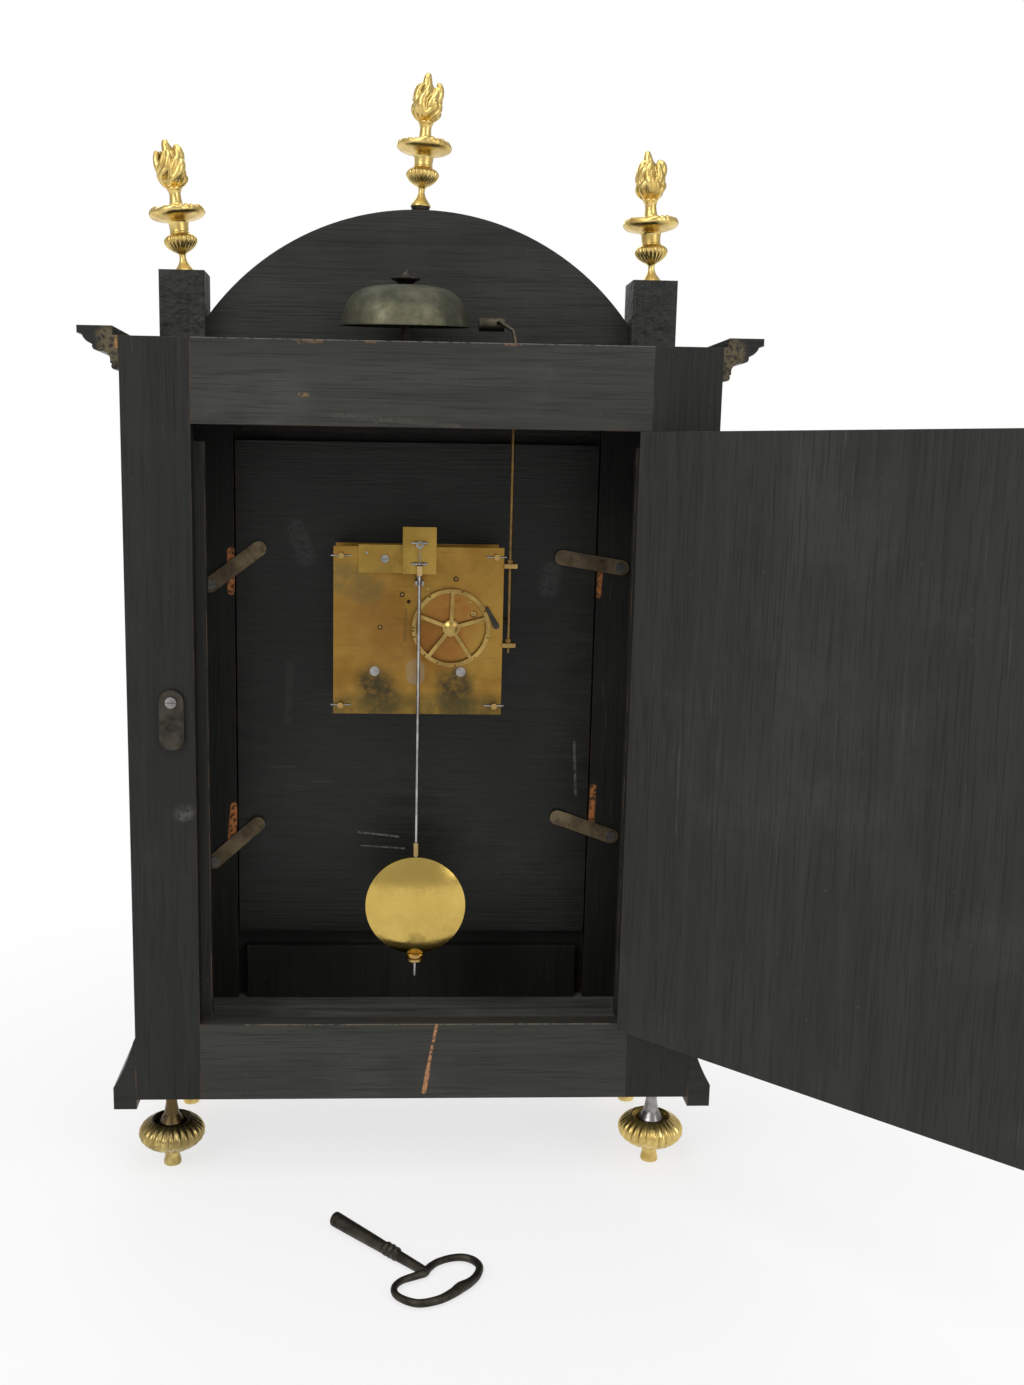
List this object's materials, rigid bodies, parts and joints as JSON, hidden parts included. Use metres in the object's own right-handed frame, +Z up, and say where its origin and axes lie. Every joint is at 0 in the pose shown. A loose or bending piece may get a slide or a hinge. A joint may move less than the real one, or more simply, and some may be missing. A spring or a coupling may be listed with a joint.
{
  "type": "bracket clock",
  "caption": "Bracket clock in an ebonised wooden case, seen with its rear door open: brass movement, short bob pendulum, bell, finials and ball feet.",
  "frame": {"origin": "on the table, below the middle of the case's width and depth", "axes": "+Z up, the dial faces -Y, the rear door opens towards +Y, +X is the right hand side as seen from the dial"},
  "size_m": [0.493, 0.335, 0.662],
  "materials": {
    "ebonised_wood": "black polished, worn at the edges",
    "inner_wood": "dark, dusty",
    "dial_board_wood": "dark, slightly glossy, scratched",
    "gilt": "gilded cast metal with dark tarnish",
    "brass": "aged brass",
    "plate_brass": "tarnished brass plate",
    "polished_brass": "polished brass",
    "steel": "grey steel",
    "dark_iron": "dark forged iron",
    "bell_bronze": "grey-green patinated bell metal",
    "silvered_metal": "silvered, matt",
    "glass": "clear sheet glass"
  },
  "bodies": {
    "case": {"back_stiles": "ebonised_wood", "back_rails": "ebonised_wood", "door_stops": "ebonised_wood", "side_panels": "ebonised_wood", "top_board": "ebonised_wood", "floor_board": "inner_wood", "front_frame": "inner_wood", "arch_board": "ebonised_wood", "finial_blocks": "ebonised_wood", "cornice": "ebonised_wood", "base_moulding": "ebonised_wood", "finials": "gilt", "feet": "gilt", "foot_screws": "steel", "dial_board": "dial_board_wood", "chapter_ring": "silvered_metal", "case_hinge_leaves": "brass", "case_screws": "steel", "back_plate": "plate_brass", "front_plate": "plate_brass", "pillars": "plate_brass", "movement_pins_and_screws": "steel", "suspension_cock": "plate_brass", "bell": "bell_bronze", "bell_stand": "steel", "bell_nut": "steel", "hammer_cocks": "brass"},
    "front_door": {"front_door_frame": "ebonised_wood", "front_door_glass": "glass", "front_door_hinges": "brass"},
    "rear_door_leaf": {"rear_door": "ebonised_wood", "rear_door_hinges": "brass"},
    "button": {"turn_button": "dark_iron"},
    "upper_left_latch": {"latch_upper_left": "brass"},
    "upper_right_latch": {"latch_upper_right": "brass"},
    "lower_left_latch": {"latch_lower_left": "brass"},
    "lower_right_latch": {"latch_lower_right": "brass"},
    "going_drum": {"going_barrel": "brass"},
    "strike_drum": {"strike_barrel": "brass"},
    "going_winder": {"going_winding_arbor": "steel"},
    "strike_winder": {"strike_winding_arbor": "steel"},
    "intermediate": {"intermediate_wheel": "brass"},
    "centre": {"centre_wheel": "brass"},
    "third": {"third_wheel": "brass"},
    "escape": {"escape_wheel": "brass"},
    "anchor": {"pallets_and_crutch": "steel"},
    "second": {"strike_second_wheel": "brass", "count_wheel": "brass"},
    "pins": {"pin_wheel": "brass"},
    "fan": {"fly": "brass"},
    "pendulum": {"suspension_spring": "steel", "pendulum_rod": "steel", "pendulum_bob": "polished_brass", "rating_nut": "brass"},
    "striker": {"hammer": "dark_iron"},
    "key": {"winding_key": "dark_iron"},
    "minutes": {"minute_hand": "dark_iron"},
    "hours": {"hour_hand": "dark_iron"},
    "motion": {"minute_wheel": "brass"},
    "detent": {"count_detent": "steel"}
  },
  "joints": [
    {"name": "front_door_hinge", "type": "hinge", "parent": "case", "child": "front_door", "pos_m": [-0.1547, -0.0647, 0.282], "axis": [0, 0, 1], "range_deg": [-110, 0]},
    {"name": "rear_door_hinge", "type": "hinge", "parent": "case", "child": "rear_door_leaf", "pos_m": [-0.1267, 0.0647, 0.2725], "axis": [0, 0, 1], "range_deg": [-135.6, 34]},
    {"name": "turn_button_pivot", "type": "hinge", "parent": "case", "child": "button", "pos_m": [0.1399, 0.064, 0.292], "axis": [0, 1, 0], "range_deg": [-90, 90]},
    {"name": "latch_upper_left_pivot", "type": "hinge", "parent": "case", "child": "upper_left_latch", "pos_m": [0.1295, -0.0364, 0.3503], "axis": [0, 1, 0], "range_deg": [0, 50]},
    {"name": "latch_upper_right_pivot", "type": "hinge", "parent": "case", "child": "upper_right_latch", "pos_m": [-0.1295, -0.0364, 0.3639], "axis": [0, 1, 0], "range_deg": [-80, 0]},
    {"name": "latch_lower_left_pivot", "type": "hinge", "parent": "case", "child": "lower_left_latch", "pos_m": [0.1295, -0.0364, 0.1696], "axis": [0, 1, 0], "range_deg": [0, 45]},
    {"name": "latch_lower_right_pivot", "type": "hinge", "parent": "case", "child": "lower_right_latch", "pos_m": [-0.1295, -0.0364, 0.1874], "axis": [0, 1, 0], "range_deg": [-70, 0]},
    {"name": "going_barrel_spin", "type": "hinge", "parent": "case", "child": "going_drum", "pos_m": [0.026, 0, 0.303], "axis": [0, 1, 0], "continuous": true},
    {"name": "strike_barrel_spin", "type": "hinge", "parent": "case", "child": "strike_drum", "pos_m": [-0.026, 0, 0.303], "axis": [0, 1, 0], "continuous": true},
    {"name": "going_winding_spin", "type": "hinge", "parent": "case", "child": "going_winder", "pos_m": [0.026, 0, 0.303], "axis": [0, 1, 0], "continuous": true},
    {"name": "strike_winding_spin", "type": "hinge", "parent": "case", "child": "strike_winder", "pos_m": [-0.026, 0, 0.303], "axis": [0, 1, 0], "continuous": true},
    {"name": "intermediate_spin", "type": "hinge", "parent": "case", "child": "intermediate", "pos_m": [0.0229, 0, 0.3297], "axis": [0, 1, 0], "continuous": true},
    {"name": "centre_spin", "type": "hinge", "parent": "case", "child": "centre", "pos_m": [0, 0, 0.335], "axis": [0, 1, 0], "continuous": true},
    {"name": "third_spin", "type": "hinge", "parent": "case", "child": "third", "pos_m": [0.0098, 0, 0.3495], "axis": [0, 1, 0], "continuous": true},
    {"name": "escape_spin", "type": "hinge", "parent": "case", "child": "escape", "pos_m": [-0.0055, 0, 0.353], "axis": [0, 1, 0], "continuous": true},
    {"name": "crutch_pivot", "type": "hinge", "parent": "case", "child": "anchor", "pos_m": [0, 0, 0.372], "axis": [0, 1, 0], "range_deg": [-4.8, 4.8]},
    {"name": "second_spin", "type": "hinge", "parent": "case", "child": "second", "pos_m": [-0.0196, 0, 0.33], "axis": [0, 1, 0], "continuous": true},
    {"name": "pin_wheel_spin", "type": "hinge", "parent": "case", "child": "pins", "pos_m": [-0.0315, 0, 0.3453], "axis": [0, 1, 0], "continuous": true},
    {"name": "fly_spin", "type": "hinge", "parent": "case", "child": "fan", "pos_m": [-0.0223, 0, 0.3591], "axis": [0, 1, 0], "continuous": true},
    {"name": "pendulum_swing", "type": "hinge", "parent": "case", "child": "pendulum", "pos_m": [0, 0.026, 0.38], "axis": [0, 1, 0], "range_deg": [-3, 3]},
    {"name": "hammer_pivot", "type": "hinge", "parent": "case", "child": "striker", "pos_m": [-0.0547, 0.01125, 0.4], "axis": [0, 0, 1], "range_deg": [-15, 17], "stiffness_Nm_per_rad": 0.02},
    {"name": "key_lift", "type": "slide", "parent": "case", "child": "key", "axis": [0, 0, 1], "range_m": [0, 0.1]},
    {"name": "minute_hand_spin", "type": "hinge", "parent": "case", "child": "minutes", "pos_m": [0, 0, 0.335], "axis": [0, 1, 0], "continuous": true},
    {"name": "hour_hand_spin", "type": "hinge", "parent": "case", "child": "hours", "pos_m": [0, 0, 0.335], "axis": [0, 1, 0], "continuous": true},
    {"name": "minute_wheel_spin", "type": "hinge", "parent": "case", "child": "motion", "pos_m": [0, 0, 0.32], "axis": [0, 1, 0], "continuous": true},
    {"name": "detent_pivot", "type": "hinge", "parent": "case", "child": "detent", "pos_m": [-0.0466, 0, 0.3317], "axis": [0, 1, 0], "range_deg": [-6, 0]}
  ],
  "couplings": [
    {"joint": "intermediate_spin", "follows": "centre_spin", "ratio": -0.16667},
    {"joint": "going_barrel_spin", "follows": "centre_spin", "ratio": 0.02381},
    {"joint": "third_spin", "follows": "centre_spin", "ratio": -12},
    {"joint": "escape_spin", "follows": "centre_spin", "ratio": 126.86},
    {"joint": "strike_barrel_spin", "follows": "second_spin", "ratio": -0.14286},
    {"joint": "pin_wheel_spin", "follows": "second_spin", "ratio": -9},
    {"joint": "fly_spin", "follows": "second_spin", "ratio": 72},
    {"joint": "minute_wheel_spin", "follows": "minute_hand_spin", "ratio": -0.33333},
    {"joint": "hour_hand_spin", "follows": "minute_hand_spin", "ratio": 0.083333},
    {"joint": "crutch_pivot", "follows": "pendulum_swing", "ratio": 1.5517}
  ]
}
